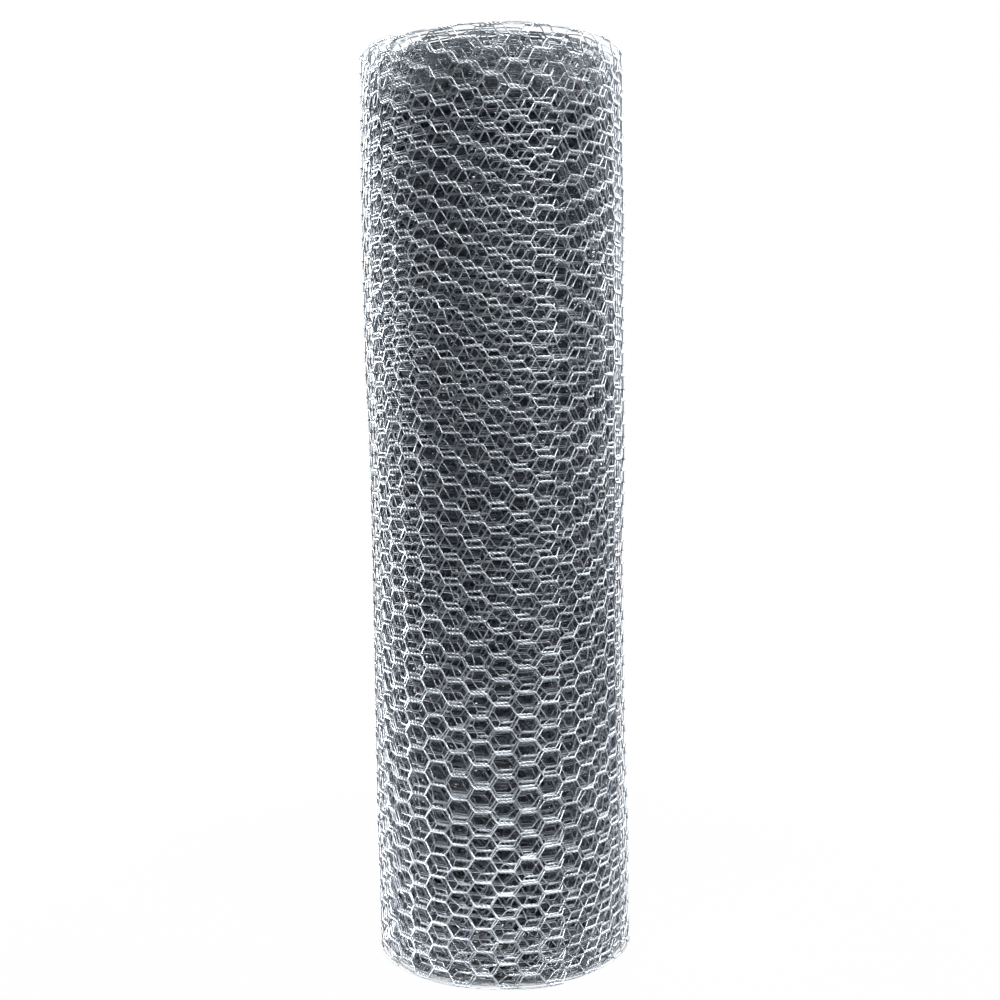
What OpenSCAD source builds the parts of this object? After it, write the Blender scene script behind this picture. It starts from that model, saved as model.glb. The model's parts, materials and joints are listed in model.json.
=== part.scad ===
// Roll of hexagonal wire netting, standing on its end.
// The netting is one continuous strip wound on itself without a core, so it is one turned solid
// with the bore that the winding mandrel leaves, and its turns show as rings on both ends.
// Millimetres, +Z up, origin at the centre of the lower end.

/* [Netting] */
// Width of the netting, which is the height of the standing roll
netting_width = 500; // [300:10:1200]
// Length of netting wound into the roll
netting_length = 10000; // [5000:500:25000]
// Radial space that one turn of netting takes
turn_pitch = 1.5; // [1.2:0.1:3]

/* [Bore] */
// Diameter of the bore left by the winding mandrel
bore_d = 56; // [30:1:80]

/* [Ends] */
// Radial gap between the selvage wires of neighbouring turns
turn_gap = 0.5; // [0.2:0.1:0.8]
// Depth of that gap, measured along the roll
turn_gap_depth = 2; // [0.5:0.5:5]

/* [Hidden] */
$fn = 144;

bore_r = bore_d / 2;
// The wound strip fills the ring between the bore and the outside: length x pitch = ring area
roll_r = sqrt(pow(bore_r, 2) + netting_length * turn_pitch / PI);
// Whole turns; the part turn left over stays on the innermost one
turns = floor((roll_r - bore_r) / turn_pitch);
// Overshoot of the cutters past the end faces
cut_over = 1;

// Half section of the roll before the gaps are cut
module wound_section() {
    translate([bore_r, 0])
        square([roll_r - bore_r, netting_width]);
}

// The gap under each turn, from the outside inwards
module turn_gaps() {
    for (turn = [1 : turns - 1])
        translate([roll_r - turn * turn_pitch, -cut_over])
            square([turn_gap, turn_gap_depth + cut_over]);
}

// Wire netting wound into a roll
module netting_roll() {
    color("silver")
        rotate_extrude()
            difference() {
                wound_section();
                turn_gaps();
                translate([0, netting_width])
                    mirror([0, 1])
                        turn_gaps();
            }
}

netting_roll();
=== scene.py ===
import json
import math

import bmesh
import bpy
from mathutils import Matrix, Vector


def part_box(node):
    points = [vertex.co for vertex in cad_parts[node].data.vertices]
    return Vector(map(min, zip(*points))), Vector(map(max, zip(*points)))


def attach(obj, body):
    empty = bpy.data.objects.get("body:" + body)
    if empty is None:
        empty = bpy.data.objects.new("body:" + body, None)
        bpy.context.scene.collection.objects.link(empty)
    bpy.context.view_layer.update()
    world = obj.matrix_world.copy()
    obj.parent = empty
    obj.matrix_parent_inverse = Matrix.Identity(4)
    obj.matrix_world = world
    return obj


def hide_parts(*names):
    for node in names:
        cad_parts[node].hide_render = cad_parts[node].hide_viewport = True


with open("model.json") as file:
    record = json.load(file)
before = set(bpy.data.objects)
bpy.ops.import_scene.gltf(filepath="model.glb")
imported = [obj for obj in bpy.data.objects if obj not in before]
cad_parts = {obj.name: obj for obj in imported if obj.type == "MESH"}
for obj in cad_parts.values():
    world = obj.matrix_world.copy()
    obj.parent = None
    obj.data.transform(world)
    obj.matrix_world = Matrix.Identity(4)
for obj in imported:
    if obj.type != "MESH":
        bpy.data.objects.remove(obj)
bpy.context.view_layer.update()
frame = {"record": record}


# --- The outer turn, as far as the cut end ------------------------------------------------------
# The last turn of a strip of half-inch poultry netting: 0.7 mm steel wires, twisted two full turns
# with one neighbour and then with the other, and galvanised as a whole in a zinc bath. It lies on
# the turn below with its twists level, and ends in a row of nipped wires.

roll_low, roll_high = (Vector(corner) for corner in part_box("netting_roll"))
netting_width = roll_high.z - roll_low.z
roll_radius = (roll_high.x - roll_low.x) / 2
bore_radius = next(
    mount["dims"]["r_mm"] for mount in frame["record"]["mounts"] if mount["name"] == "bore"
) / 1000

wire_radius = 0.00043               # the mean, with its zinc
twist_radius = 0.00048              # from the middle of a twist to the middle of its wires
edge_space = 0.00095                # from the edge of the netting to its first twists' middle
mesh_rows = 39
twist_length = 0.009
full_twists = 2

# The zinc bath fills the twists and runs off the single wires between them, so a wire is thicker
# than its mean in the twists, and thinner between them.
twist_coat = 1.22
single_coat = 0.84
coat_run_out = 0.1                  # how fast the thick coat ends at a twist's ends
coat_space = 0.00011                # more room for the coated twists at the outside

# The strip is wound without a core, so each turn lies on the twists of the one below it. The
# outermost turns are slacker than the rest, and no turn is quite round.
netting_length = 10.0
slack = 0.0024
slack_turns = 3
out_of_round = 0.0006
bore_clearance = 0.0009
first_radius = bore_radius + bore_clearance + twist_radius + wire_radius
last_radius = roll_radius - edge_space - slack - out_of_round
turn_pitch = math.pi * (last_radius**2 - first_radius**2) / netting_length
wound_angle = (last_radius - first_radius) * 2 * math.pi / turn_pitch

# 36 twists go round the outermost turn, so those of the second turn lie just behind them.
twists_round = 36
column_pitch = 2 * math.pi * (last_radius - turn_pitch / 2) / twists_round
cut_off_columns = 2
last_column = int(netting_length / column_pitch) - cut_off_columns

# The cut end lies on the right of the roll, and the outer turns run from there across the front.
front_angle = math.radians(-90)
cut_end_angle = math.radians(-47)
front_turn = (cut_end_angle - front_angle) / (2 * math.pi)
stub_length = 0.006
shortest_stub = 0.1                 # as a share of the longest
stub_seed = 4
stub_drop = 0.002                   # how far a stub's tip is bent in


class Number:
    """A number that nodes work out: the usual operators add Math nodes to its tree."""

    def __init__(self, socket):
        self.socket = socket

    def maths(self, operation, *values):
        tree = self.socket.id_data
        node = tree.nodes.new("ShaderNodeMath")
        node.operation = operation
        for place, value in zip(node.inputs, values):
            if isinstance(value, Number):
                tree.links.new(value.socket, place)
            else:
                place.default_value = value
        return Number(node.outputs[0])

    def __add__(self, other):
        return self.maths("ADD", self, other)

    def __radd__(self, other):
        return self.maths("ADD", other, self)

    def __sub__(self, other):
        return self.maths("SUBTRACT", self, other)

    def __rsub__(self, other):
        return self.maths("SUBTRACT", other, self)

    def __mul__(self, other):
        return self.maths("MULTIPLY", self, other)

    def __rmul__(self, other):
        return self.maths("MULTIPLY", other, self)

    def __truediv__(self, other):
        return self.maths("DIVIDE", self, other)

    def __rtruediv__(self, other):
        return self.maths("DIVIDE", other, self)

    def __mod__(self, other):
        return self.maths("FLOORED_MODULO", self, other)

    def __gt__(self, other):
        return self.maths("GREATER_THAN", self, other)

    def __lt__(self, other):
        return self.maths("LESS_THAN", self, other)

    def floor(self):
        return self.maths("FLOOR", self)

    def root(self):
        return self.maths("SQRT", self)

    def sin(self):
        return self.maths("SINE", self)

    def cos(self):
        return self.maths("COSINE", self)

    def size(self):
        return self.maths("ABSOLUTE", self)

    def smaller(self, other):
        return self.maths("MINIMUM", self, other)

    def between(self, low, high):
        return self.maths("MINIMUM", self.maths("MAXIMUM", self, low), high)

    def eased(self, start, end):
        """0 before start, 1 after end, and a smooth step between them."""
        share = ((self - start) / (end - start)).between(0, 1)
        return share * share * (3 - 2 * share)


class Nodes:
    """A node tree that takes a node's type, its settings and its sockets' values in one call."""

    def __init__(self, tree):
        self.tree = tree

    def add(self, kind, settings=None, sockets=None):
        node = self.tree.nodes.new(kind)
        for name, value in (settings or {}).items():
            setattr(node, name, value)
        for name, value in (sockets or {}).items():
            place = node.inputs[name]
            if isinstance(value, Number):
                self.tree.links.new(value.socket, place)
            elif isinstance(value, bpy.types.NodeSocket):
                self.tree.links.new(value, place)
            else:
                place.default_value = value
        return node

    def number(self, kind, settings=None, sockets=None, output=0):
        return Number(self.add(kind, settings, sockets).outputs[output])


# How far a twist strays from its place. The slow strays run in waves over many meshes, the quick
# ones differ from each mesh to the next. Both are larger deep in the roll, which starts and is
# fully reached at two numbers of turns in from the cut end.
slow_stray = 0.0035
slow_stray_scale = 14.0
slow_stray_seed = 3.7
quick_stray_along = 0.0016
quick_stray_across = 0.002
quick_stray_scale = 70.0
quick_stray_seed = 9.1
deep_from = 1.3
deep_to = 2.3
deep_slow_stray = 3.5
deep_quick_stray = 2.0
twist_tilt = 0.3

# The turns don't lie alike: the second one lags behind the outer one, which hangs lower than it.
# They lie alike at the foot and drift apart between two shares of the roll's height, but the outer
# turn's drop is mostly held back near the top. The turns inside were pulled narrower, and each lies
# a little higher or lower than the last.
second_turn_lag = 0.0036
outer_turn_drop = 0.0052
apart_from = 0.08
apart_to = 0.8
held_from = 0.88
held_share = 0.75
inner_narrowing = 0.0065
narrowing_turns = 6
narrowing_stray = 0.012
turn_drift = 0.0045
turn_drift_rate = 2.4

# The edge rows stand closer than the rest and don't stray up or down. Their edge wires wave
# instead: up a little at the foot, and down more at the top.
edge_row_share = 0.03
edge_row_hold = 24                  # a larger number holds fewer rows
slow_edge_wave = 0.02
quick_edge_wave = 0.012
foot_wave_share = 0.15
wave_change = 0.65                  # from the foot to the top
wave_change_from = 0.3
wave_change_to = 0.7

# The roll isn't round: slow bulges, and where it stands out or is pushed in, each with its
# direction in degrees, its height and its amount.
bulge_depth = 0.003
bulge_scale = 11.0
bulge_seed = 5.3
dents = [(180, 0.36, 0.0018), (0, 0.46, 0.0012), (0, 0.165, -0.0022)]
dent_reach = 0.12                   # up and down
dent_facing = 0.2                   # the cosine of the angle at which it ends on both sides
deepest_dent = 0.004
highest_bulge = 0.002


def wound_wires_tree():
    """The wires of part of the strip, wound on the roll. Columns of twists are counted along the
    strip from its inner end, wires across it from its lower edge."""
    tree = bpy.data.node_groups.new("wound_wires", "GeometryNodeTree")
    nodes = Nodes(tree)
    socket = tree.interface.new_socket
    socket("Geometry", in_out="OUTPUT", socket_type="NodeSocketGeometry")
    inputs = {
        "From Column": "Int",
        "To Column": "Int",
        "Points per Twist": "Int",
        "Wire Sides": "Int",
        "Whole Rows": "Int",
        "Rows": "Int",
        "Width": "Float",
        "Wire Radius": "Float",
        "Twist Radius": "Float",
        "Column Pitch": "Float",
        "Twist Length": "Float",
        "First Radius": "Float",
        "Last Radius": "Float",
        "Turn Pitch": "Float",
        "Start Angle": "Float",
        "Stub": "Float",
        "Wire": "Material",
    }
    for name, kind in inputs.items():
        socket(name, in_out="INPUT", socket_type="NodeSocket" + kind)
    given = nodes.add("NodeGroupInput")
    size = {name: Number(given.outputs[name]) for name in inputs if name != "Wire"}

    # One wire is a line of points: those of each twist, then a straight run to the next twist.
    # The piece starts at the end of the twist in its first column. A cut end's stubs need one more
    # point, where the next twist would start.
    points = size["Points per Twist"]
    run = (size["To Column"] - size["From Column"]) * points + 1 + (size["Stub"] > 0)
    line = nodes.add("GeometryNodeMeshLine", sockets={"Count": run})
    wire = nodes.add("GeometryNodeMeshToCurve", sockets={"Mesh": line.outputs[0]})
    wires = 2 * size["Rows"] + 2
    every = nodes.add("GeometryNodeMeshLine", sockets={"Count": wires})
    spread = nodes.add(
        "GeometryNodeInstanceOnPoints",
        sockets={"Points": every.outputs[0], "Instance": wire.outputs[0]},
    )
    real = nodes.add("GeometryNodeRealizeInstances", sockets={"Geometry": spread.outputs[0]})

    # Where a point is: its wire, counted from -1 for the straight edge wire, its column and its
    # place in the twist. A small share of a step keeps whole numbers from being rounded down.
    share = 0.25
    index = nodes.number("GeometryNodeInputIndex")
    wire_number = (index / run + share / run).floor() - 1
    on_wire = index - (wire_number + 1) * run
    step = on_wire + points - 1
    column = ((step + share) / points).floor() + size["From Column"]
    in_twist = (step - (column - size["From Column"]) * points) / (points - 1)

    # Which twist that is: wires pair with one neighbour in even columns, the other in odd ones.
    # A straight wire lies in each edge, and the netting's outermost wires are twisted round it.
    odd = column % 2
    rows = size["Rows"]
    tiny_share = 0.001
    paired = ((wire_number + odd) / 2 + tiny_share).floor() + (1 - odd) / 2
    level = (paired / rows).between(0, 1)
    lower_edge = wire_number < -0.5
    upper_edge = wire_number > 2 * rows - 0.5
    upper = ((wire_number + odd) % 2 + upper_edge).between(0, 1) * (1 - lower_edge)
    side = 2 * upper - 1
    straight = (lower_edge + upper_edge) * (1 - odd)
    phase = in_twist * (2 * math.pi * full_twists) * (1 - straight)
    along = column + (in_twist - 0.5) * size["Twist Length"] / size["Column Pitch"]
    along = along * size["Column Pitch"]

    # Which turn it is in: 0 at the cut end, and 1 a whole turn before it. Swing is 0 in the outer
    # turn at the front of the roll, and 1 in the second turn.
    pitch = size["Turn Pitch"]
    inner = size["First Radius"]
    turns_in = (size["Last Radius"] - (inner * inner + along * pitch / math.pi).root()) / pitch
    deep = turns_in.eased(deep_from, deep_to)
    swing = 0.5 - 0.5 * ((turns_in - front_turn) * math.pi).cos()

    # Apart grows with the height. Inside is 0 at both edges of the strip and 1 between them.
    apart = level.eased(apart_from, apart_to)
    inside = (level * (1 - level) * edge_row_hold).between(0, 1)
    twist_place = nodes.add(
        "ShaderNodeCombineXYZ",
        sockets={"X": column * size["Column Pitch"], "Y": level * size["Width"]},
    )

    def wander(scale, seed):
        noise = nodes.add(
            "ShaderNodeTexNoise",
            {"noise_dimensions": "4D"},
            {"Vector": twist_place.outputs[0], "W": seed, "Scale": scale, "Detail": 1.0},
        )
        parts = nodes.add("ShaderNodeSeparateXYZ", sockets={"Vector": noise.outputs[1]})
        return [Number(part) - 0.5 for part in parts.outputs]

    slow = wander(slow_stray_scale, slow_stray_seed)
    quick = wander(quick_stray_scale, quick_stray_seed)
    slow_part = (1 + deep_slow_stray * deep) * slow_stray
    quick_part = (1 + deep_quick_stray * deep) * quick_stray_along
    lag = apart * swing * second_turn_lag
    shift = slow[0] * slow_part + quick[0] * quick_part - lag
    climb = (slow[1] * slow_part + quick[1] * quick_stray_across) * inside
    drift = (turns_in * turn_drift_rate).sin() * deep * inside * turn_drift
    held = level.eased(held_from, 1)
    drop = apart * (1 - swing) * (1 - deep) * (1 - held_share * held) * outer_turn_drop
    pulled = (turns_in / narrowing_turns).between(0, 1)
    narrow = level * (pulled * inner_narrowing + deep * slow[2] * narrowing_stray)
    wave = quick[2].size() * quick_edge_wave + slow[2].size() * slow_edge_wave
    wave_share = foot_wave_share - wave_change * level.eased(wave_change_from, wave_change_to)
    ragged = (1 - inside) * wave * wave_share
    tilt = quick[2] * twist_tilt * inside
    even_rows = level - (level * (2 * math.pi)).sin() * (edge_row_share / (2 * math.pi))
    edge_room = edge_space + coat_space
    height = edge_room + even_rows * (size["Width"] - 2 * edge_room)
    height = height + climb + drift - drop - narrow + ragged
    height = height + (in_twist - 0.5) * size["Twist Length"] * tilt
    height = height + side * phase.cos() * size["Twist Radius"]
    proud = side * phase.sin() * size["Twist Radius"]

    # Wind the strip: the arc length along a spiral gives its angle, and the angle its radius.
    reach = (inner * inner + (along + shift) * pitch / math.pi).root()
    angle = (reach - inner) * (2 * math.pi) / pitch + size["Start Angle"]
    outward = (1 - turns_in / slack_turns).between(0, 1)
    radius = reach + outward * outward * slack
    spot = nodes.add(
        "ShaderNodeCombineXYZ",
        sockets={"X": radius * angle.cos(), "Y": radius * angle.sin(), "Z": height},
    )
    uneven = nodes.number(
        "ShaderNodeTexNoise",
        {"noise_dimensions": "4D"},
        {"Vector": spot.outputs[0], "W": bulge_seed, "Scale": bulge_scale, "Detail": 1.0},
    )
    bulge = (uneven - 0.5) * bulge_depth
    for degrees, middle, amount in dents:
        facing = (angle - math.radians(degrees)).cos().eased(dent_facing, 1.0)
        bulge = bulge + facing * (1 - (height - middle).size().eased(0, dent_reach)) * amount
    bulge = bulge.between(-deepest_dent, highest_bulge)
    limit = size["Last Radius"] + slack + out_of_round - coat_space
    radius = (radius + bulge * (reach / size["Last Radius"])).smaller(limit) + proud
    radius = radius - (column > size["To Column"] + 0.5) * stub_drop
    place = nodes.add(
        "ShaderNodeCombineXYZ",
        sockets={"X": radius * angle.cos(), "Y": radius * angle.sin(), "Z": height},
    )
    wound = nodes.add(
        "GeometryNodeSetPosition",
        sockets={"Geometry": real.outputs[0], "Position": place.outputs[0]},
    )

    # The coat is full in a twist and thin outside it. A wire with two points to a twist keeps its
    # mean thickness all along.
    in_pair = (in_twist * (1 - in_twist)).eased(0, coat_run_out) * (1 - straight)
    coat = single_coat + (twist_coat - single_coat) * in_pair
    coat = 1 + (points > 2.5) * (coat - 1)
    coated = nodes.add(
        "GeometryNodeSetCurveRadius",
        sockets={"Curve": wound.outputs[0], "Radius": coat},
    )

    # Deep in the roll every second wire is left out between the edge rows: nothing sees them.
    whole = size["Whole Rows"] * 2
    spline = nodes.number("GeometryNodeInputIndex") - 1
    spare = (spline % 2) * (spline > whole) * (spline < 2 * rows - whole)
    thinned = nodes.add(
        "GeometryNodeDeleteGeometry",
        {"domain": "CURVE"},
        {"Geometry": coated.outputs[0], "Selection": spare},
    )

    # The wires at the cut end are nipped off at odd lengths past their last twist. Sockets that
    # share a name are given by their number: 2 and 3 are a random float's low and high ends, and
    # 5 is the length at which a curve ends.
    wire_length = nodes.number("GeometryNodeSplineLength")
    odd_length = nodes.number(
        "FunctionNodeRandomValue",
        {"data_type": "FLOAT"},
        {2: shortest_stub, 3: 1.0, "Seed": stub_seed},
        output=1,
    )
    nipped = nodes.add(
        "GeometryNodeTrimCurve",
        {"mode": "LENGTH"},
        {
            "Curve": thinned.outputs[0],
            "Selection": size["Stub"] > 0,
            5: wire_length - size["Stub"] * odd_length,
        },
    )

    # A wire with few sides is drawn a little larger, so that it looks as thick as a round one.
    sides = size["Wire Sides"]
    half_side = math.pi / sides
    drawn = size["Wire Radius"] * half_side / half_side.sin()
    profile = nodes.add(
        "GeometryNodeCurvePrimitiveCircle",
        sockets={"Resolution": sides, "Radius": drawn},
    )

    # The map of the finish: one strip for each wire, its length along the strip.
    strip_margin = 0.05
    past_half = 0.75
    along_wire = nodes.add(
        "GeometryNodeCaptureAttribute",
        {"domain": "POINT"},
        {"Geometry": nipped.outputs[0]},
    )
    along_wire.capture_items.new("FLOAT", "share")
    along_wire.capture_items.new("FLOAT", "strip")
    tree.links.new((on_wire / (run - 1)).socket, along_wire.inputs[1])
    tree.links.new((wire_number + 1).socket, along_wire.inputs[2])
    round_wire = nodes.add(
        "GeometryNodeCaptureAttribute",
        {"domain": "POINT"},
        {"Geometry": profile.outputs[0]},
    )
    round_wire.capture_items.new("FLOAT", "corner")
    tree.links.new(index.socket, round_wire.inputs[1])
    tubes = nodes.add(
        "GeometryNodeCurveToMesh",
        sockets={
            "Curve": along_wire.outputs[0],
            "Profile Curve": round_wire.outputs[0],
            "Scale": nodes.number("GeometryNodeInputRadius"),
            "Fill Caps": True,
        },
    )

    # The last side of a wire runs from its last corner back to the first, so its middle is more
    # than the usual half a corner past that first corner, which is then counted as one more.
    corner = Number(round_wire.outputs[1])
    middle = nodes.number(
        "GeometryNodeFieldOnDomain",
        {"data_type": "FLOAT", "domain": "FACE"},
        {0: corner},
    )
    corner = corner + sides * ((middle - corner) > past_half)
    strip = Number(along_wire.outputs[2])
    strip_share = (strip + strip_margin + (1 - 2 * strip_margin) * corner / sides) / wires
    flat = nodes.add(
        "ShaderNodeCombineXYZ",
        sockets={"X": Number(along_wire.outputs[1]), "Y": strip_share},
    )
    mapped = nodes.add(
        "GeometryNodeStoreNamedAttribute",
        {"data_type": "FLOAT2", "domain": "CORNER"},
        {"Geometry": tubes.outputs[0], "Name": "OFBake", "Value": flat.outputs[0]},
    )
    smooth = nodes.add("GeometryNodeSetShadeSmooth", sockets={"Geometry": mapped.outputs[0]})
    whole_mesh = nodes.add("GeometryNodeRealizeInstances", sockets={"Geometry": smooth.outputs[0]})
    finished = nodes.add(
        "GeometryNodeSetMaterial",
        sockets={"Geometry": whole_mesh.outputs[0], "Material": given.outputs["Wire"]},
    )
    result = nodes.add("NodeGroupOutput")
    tree.links.new(finished.outputs[0], result.inputs["Geometry"])
    return tree


# Zinc, where it is thin and where it has run, and its dull grain. Deep in the roll the wire's colour is
# painted darker as shade, and its zinc is duller and rougher there; that painted shade is paler towards
# the foot, as painted light from the pale floor.
thin_zinc = (0.41, 0.44, 0.48, 1)
run_zinc = (0.64, 0.68, 0.72, 1)
dull_grain = (0.3, 0.31, 0.33, 1)
# Painted shade: the colour given to wire deep in the roll.
painted_shade_colour = (0.14, 0.157, 0.187, 1)
# Painted light: the paler deep colour at the foot, standing for light from the pale floor.
painted_floor_light_colour = (0.22, 0.246, 0.29, 1)
floor_light_height = 0.24                  # where the painted floor light on the deep wire ends
painted_shade_start = 0.0045                # how deep in the roll the painted shade starts
painted_shade_full = 0.012

# The painted shade is lighter near the open ends, as painted light let in between the turns, more at the
# top than at the foot. One metre in from an end is shaded like this many metres in from the side.
depth_from_foot = 0.4
depth_from_top = 0.27

# The zinc's runs are about a centimetre across, and its grain about a millimetre.
run_scale = 90.0
grain_scale = 900.0
grain_dullness = 0.5
grain_bump = 0.00004
bump_strength = 0.3
smooth_roughness = 0.27
run_roughness = 0.14
grain_roughness = 0.08
shaded_roughness = 0.33
metal_share = 0.85
shaded_metal_loss = 0.5


def galvanised_wire():
    """Hot-dip zinc on drawn wire: pale grey and half dull, with brighter and darker runs."""
    material = bpy.data.materials.new("galvanised_wire")
    material.use_nodes = True
    nodes = Nodes(material.node_tree)
    shader = material.node_tree.nodes["Principled BSDF"]
    link = material.node_tree.links.new

    def mixed(share, first, second):
        """Sockets 6 and 7 take a Mix node's two colours, and its output 2 gives the mixture."""
        mix = nodes.add(
            "ShaderNodeMix", {"data_type": "RGBA"}, {"Factor": share, 6: first, 7: second}
        )
        return mix.outputs[2]

    place = nodes.add("ShaderNodeTexCoord").outputs["Object"]
    runs = nodes.number(
        "ShaderNodeTexNoise", None, {"Vector": place, "Scale": run_scale, "Detail": 3.0}
    )
    grain = nodes.number(
        "ShaderNodeTexNoise", None, {"Vector": place, "Scale": grain_scale, "Detail": 2.0}
    )
    zinc = mixed(runs.eased(0.35, 0.65), thin_zinc, run_zinc)
    dulled = mixed(grain.eased(0.5, 0.75) * grain_dullness, zinc, dull_grain)

    # Painted shade: the deeper a wire lies in the roll, the darker its colour is painted, and the duller
    # and rougher its zinc.
    spot = nodes.add("ShaderNodeSeparateXYZ", sockets={"Vector": place})
    x, y, z = (Number(part) for part in spot.outputs)
    from_axis = (x * x + y * y).root()
    from_ends = (z * depth_from_foot).smaller((netting_width - z) * depth_from_top)
    from_sides = (roll_radius - from_axis).smaller(from_axis - bore_radius)
    # Painted shade mask: 0 near the roll's faces and open ends, 1 deep in the roll.
    painted_shade = from_sides.smaller(from_ends).eased(painted_shade_start, painted_shade_full)
    # Painted floor light: the painted shade is paler towards the foot.
    painted_shade_mix = mixed(z.eased(0, floor_light_height), painted_floor_light_colour, painted_shade_colour)
    link(mixed(painted_shade, dulled, painted_shade_mix), shader.inputs["Base Color"])
    roughness = smooth_roughness + run_roughness * runs + grain_roughness * grain
    roughness = roughness + shaded_roughness * painted_shade
    link(roughness.socket, shader.inputs["Roughness"])
    link((metal_share - shaded_metal_loss * painted_shade).socket, shader.inputs["Metallic"])
    bump = nodes.add(
        "ShaderNodeBump", None, {"Height": grain, "Strength": bump_strength, "Distance": grain_bump}
    )
    link(bump.outputs[0], shader.inputs["Normal"])
    return material


wound_wires = wound_wires_tree()
wire_finish = galvanised_wire()


def in_place(name, mesh):
    """A plain mesh as a piece of the roll: it stands for the CAD roll and stays with it."""
    mesh.name = name
    piece = bpy.data.objects.new(name, mesh)
    bpy.context.scene.collection.objects.link(piece)
    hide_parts("netting_roll")
    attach(piece, "root")


def made_mesh(seed):
    """What a seed object's modifiers or bends come to, as a plain mesh. The seed is removed."""
    bpy.context.scene.collection.objects.link(seed)
    evaluated = seed.evaluated_get(bpy.context.evaluated_depsgraph_get())
    mesh = bpy.data.meshes.new_from_object(evaluated)
    bpy.data.objects.remove(seed)
    return mesh


def wound_piece(name, from_column, to_column, points_per_twist, wire_sides, whole_rows, stub=0.0):
    """Part of the netting, from one column of twists to another, as one plain mesh."""
    seed = bpy.data.objects.new(name + "_seed", bpy.data.meshes.new(name + "_seed"))
    modifier = seed.modifiers.new("wound_wires", "NODES")
    modifier.node_group = wound_wires
    values = {
        "From Column": from_column,
        "To Column": to_column,
        "Points per Twist": points_per_twist,
        "Wire Sides": wire_sides,
        "Whole Rows": whole_rows,
        "Rows": mesh_rows,
        "Width": netting_width,
        "Wire Radius": wire_radius,
        "Twist Radius": twist_radius,
        "Column Pitch": column_pitch,
        "Twist Length": twist_length,
        "First Radius": first_radius,
        "Last Radius": last_radius,
        "Turn Pitch": turn_pitch,
        "Start Angle": cut_end_angle - wound_angle,
        "Stub": stub,
        "Wire": wire_finish,
    }
    for item in wound_wires.interface.items_tree:
        if item.in_out == "INPUT":
            modifier[item.identifier] = values[item.name]
    in_place(name, made_mesh(seed))


# The piece starts nearly a whole turn before the cut end, where the second turn's wires end.
outer_columns = 34
outer_start = last_column - outer_columns
wound_piece(
    "outer_turn",
    outer_start,
    last_column,
    points_per_twist=9,
    wire_sides=4,
    whole_rows=mesh_rows,
    stub=stub_length,
)


# --- The second and third turns -----------------------------------------------------------------
# The same strip of netting, one and two turns further in. They are springy and not pulled tight,
# so their twists show through the outer turn's meshes. Only the turn around each one holds it.

second_columns = 36
third_columns = 35
second_start = outer_start - second_columns
third_start = second_start - third_columns
wound_piece(
    "second_turn", second_start, outer_start, points_per_twist=9, wire_sides=3, whole_rows=mesh_rows
)
wound_piece(
    "third_turn", third_start, second_start, points_per_twist=5, wire_sides=3, whole_rows=mesh_rows
)


# --- The turns inside ---------------------------------------------------------------------------
# The rest of the strip, wound tighter, so that it is a little longer and narrower there. Its wires fill
# the roll with dull zinc painted dark as shade, and each turn lies on the twists of the one below it.

inner_start = 12
next_columns = 100
next_start = third_start - next_columns
middle_start = (next_start + inner_start) // 2
whole_edge_rows = 4
wound_piece(
    "next_turns", next_start, third_start, points_per_twist=2, wire_sides=3, whole_rows=mesh_rows
)
wound_piece(
    "middle_turns", middle_start, next_start, points_per_twist=2, wire_sides=3, whole_rows=whole_edge_rows
)
wound_piece(
    "inner_turns", inner_start, middle_start, points_per_twist=2, wire_sides=3, whole_rows=whole_edge_rows
)


# --- The bore turn ------------------------------------------------------------------------------
# The strip's first turn, round the open bore. It was wound on a mandrel that was then drawn out,
# so no core holds it: the spring of the wire presses it against the turn outside.

bore_start = -1
wound_piece(
    "bore_turn", bore_start, inner_start, points_per_twist=5, wire_sides=3, whole_rows=mesh_rows
)


# --- The bent wire ends -------------------------------------------------------------------------
# Two of the netting's own wire ends, galvanised like the rest, hold the last turn to the one below.
# One is bent into a hook just below the upper edge, and the other into a small eye at the foot.
# They lie on the last turn, and their tips are pushed in through its meshes.

# Each outline is in millimetres, across the roll's face and up.
hook_half_width = 7
hook_rise = 6
hook_shoulder = 2.5
hook = [
    (
        hook_half_width * math.cos(math.radians(turn)),
        hook_shoulder + hook_rise * math.sin(math.radians(turn)),
    )
    for turn in range(180, -1, -15)
]
hook = [(-7.4, -3), (-7.3, 0)] + hook + [(7.3, 0), (7.0, -4)]
eye_half_width = 3.2
eye_half_height = 3.6
eye_middle = 4
eye = [
    (
        eye_half_width * math.sin(math.radians(turn)),
        eye_middle - eye_half_height * math.cos(math.radians(turn)),
    )
    for turn in range(15, 361, 15)
]
eye = [(-4.5, 0.2), (-2, 0.1)] + eye + [(2.2, -0.3), (5, -0.6)]
crossing_gap = 0.0004               # half the room a wire needs to pass over itself
threaded_depth = 0.0022             # how far both tips are pushed in
weld_distance = 0.000001


def bent_end(name, outline, degrees, height, radius):
    """A bent end of wire that follows the roll's face, as one closed tube."""
    bend = bpy.data.curves.new(name, "CURVE")
    bend.dimensions = "3D"
    bend.bevel_depth = wire_radius * single_coat
    bend.bevel_resolution = 1
    bend.use_fill_caps = True
    spline = bend.splines.new("POLY")
    spline.points.add(len(outline) - 1)
    for point, (across, up) in zip(spline.points, outline):
        angle = math.radians(degrees) + across / 1000 / radius
        reach = radius + crossing_gap * math.sin(across)
        if (across, up) in (outline[0], outline[-1]):
            reach = reach - threaded_depth
        point.co = (reach * math.cos(angle), reach * math.sin(angle), height + up / 1000, 1)
    mesh = made_mesh(bpy.data.objects.new(name + "_seed", bend))
    mesh.materials.clear()
    mesh.materials.append(wire_finish)
    welded = bmesh.new()
    welded.from_mesh(mesh)
    bmesh.ops.remove_doubles(welded, verts=welded.verts, dist=weld_distance)
    welded.to_mesh(mesh)
    welded.free()
    in_place(name, mesh)


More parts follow.
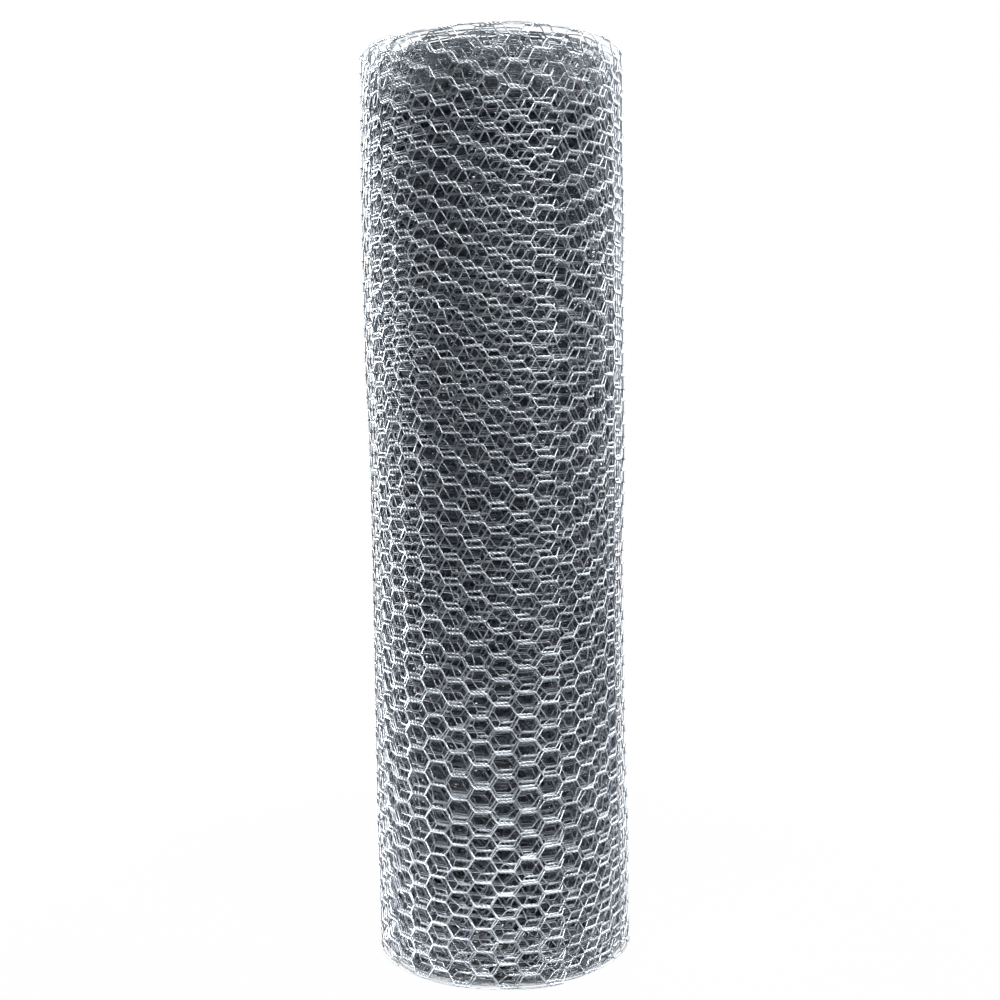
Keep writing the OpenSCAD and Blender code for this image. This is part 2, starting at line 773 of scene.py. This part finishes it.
bent_end("hook", hook, degrees=-45, height=0.4882, radius=0.0719)
bent_end("eye", eye, degrees=-17, height=0.0059, radius=0.0714)


# --- Floor, light and camera --------------------------------------------------------------------
# The roll stands on a wide sheet of pale paper, lit to white beyond the lamps' reach, so that the
# sheet has no far edge. Soft lamps stand above, at both sides and low in front of it.

white = (1, 1, 1, 1)
paper_colour = (0.3, 0.3, 0.3, 1)
paper_roughness = 0.9
paper_shine = 0.2
paper_half_side = 30
near_glow = 0.97                    # close to the roll, and 1 beyond the glow's far end
glow_near_end = 0.1
glow_far_end = 0.5
floor_mesh = bpy.data.meshes.new("floor")
floor_mesh.from_pydata(
    [
        (-paper_half_side, -paper_half_side, 0),
        (paper_half_side, -paper_half_side, 0),
        (paper_half_side, paper_half_side, 0),
        (-paper_half_side, paper_half_side, 0),
    ],
    [],
    [(0, 1, 2, 3)],
)
floor = bpy.data.objects.new("floor", floor_mesh)
bpy.context.scene.collection.objects.link(floor)
paper = bpy.data.materials.new("paper")
paper.use_nodes = True
paper_nodes = Nodes(paper.node_tree)
paper_shader = paper.node_tree.nodes["Principled BSDF"]
paper_shader.inputs["Base Color"].default_value = paper_colour
paper_shader.inputs["Roughness"].default_value = paper_roughness
paper_shader.inputs["Specular IOR Level"].default_value = paper_shine
paper_place = paper_nodes.add("ShaderNodeTexCoord").outputs["Object"]
paper_spot = paper_nodes.add("ShaderNodeVectorMath", {"operation": "LENGTH"}, {0: paper_place})
from_roll = Number(paper_spot.outputs["Value"])
glow = near_glow + (1 - near_glow) * from_roll.eased(glow_near_end, glow_far_end)
seen_paper = Number(paper_nodes.add("ShaderNodeLightPath").outputs["Is Camera Ray"])
lit_white = paper_nodes.add("ShaderNodeEmission", None, {"Color": white, "Strength": 1.0})
paper_surface = paper_nodes.add(
    "ShaderNodeMixShader",
    None,
    {0: glow * seen_paper, 1: paper_shader.outputs[0], 2: lit_white.outputs[0]},
)
paper.node_tree.links.new(
    paper_surface.outputs[0], paper.node_tree.nodes["Material Output"].inputs["Surface"]
)
floor_mesh.materials.append(paper)

# The paper behind is lit to white, while less light comes from all round.
around_colour = (0.85, 0.93, 1, 1)
around_strength = 0.075
world = bpy.data.worlds.new("studio")
world.use_nodes = True
studio = Nodes(world.node_tree)
seen = studio.add("ShaderNodeBackground", None, {"Color": white, "Strength": 1.0})
around = studio.add(
    "ShaderNodeBackground", None, {"Color": around_colour, "Strength": around_strength}
)
by_path = studio.add("ShaderNodeLightPath")
studio_surface = studio.add(
    "ShaderNodeMixShader",
    None,
    {0: by_path.outputs["Is Camera Ray"], 1: around.outputs[0], 2: seen.outputs[0]},
)
world.node_tree.links.new(
    studio_surface.outputs[0], world.node_tree.nodes["World Output"].inputs["Surface"]
)
bpy.context.scene.world = world
bpy.context.scene.view_settings.view_transform = "Standard"


def soft_light(name, place, aim, size, power, spread=180):
    """A rectangular lamp. Its spread in degrees is that of the grid in front of it."""
    lamp = bpy.data.lights.new(name, "AREA")
    lamp.shape = "RECTANGLE"
    lamp.size = size[0]
    lamp.size_y = size[1]
    lamp.energy = power
    lamp.spread = math.radians(spread)
    light = bpy.data.objects.new(name, lamp)
    bpy.context.scene.collection.objects.link(light)
    light.location = place
    light.rotation_euler = (Vector(aim) - Vector(place)).to_track_quat("-Z", "Y").to_euler()


roll_middle = (0, 0, netting_width / 2)
roll_top = (0, 0, netting_width)
soft_light("key", (0.78, -0.85, 1.03), (0, 0, 0.45), (0.3, 0.6), 1.15, 50)
soft_light("front_overhead", (0.12, -0.75, 1.4), roll_middle, (0.5, 0.4), 13)
soft_light("left_box", (-1.0, 0.35, 0.08), roll_middle, (0.7, 0.8), 34)
soft_light("right_box", (1.0, 0.4, 0.7), roll_middle, (0.7, 0.8), 21)
soft_light("low_front", (-0.05, -0.9, 1.0), (0, 0, -0.06), (0.4, 0.1), 0.28, 14)
soft_light("behind_overhead", (0, 0.45, 1.3), roll_top, (0.8, 0.3), 14)
soft_light("low_left", (-0.75, -0.75, 0.45), (0, 0, -0.02), (0.3, 0.1), 0.06, 14)

camera_side = 0.0014
camera_away = 0.735
camera_height = 0.2995
camera_tilt = math.radians(3.63)
camera_roll = math.radians(0.93)
camera_lens = 46.74
sensor_width = 36
camera_data = bpy.data.cameras.new("camera")
camera_data.sensor_width = sensor_width
camera_data.lens = camera_lens
camera = bpy.data.objects.new("camera", camera_data)
bpy.context.scene.collection.objects.link(camera)
camera.location = (camera_side, -camera_away, camera_height)
camera.rotation_euler = (math.pi / 2 - camera_tilt, camera_roll, 0)
bpy.context.scene.camera = camera
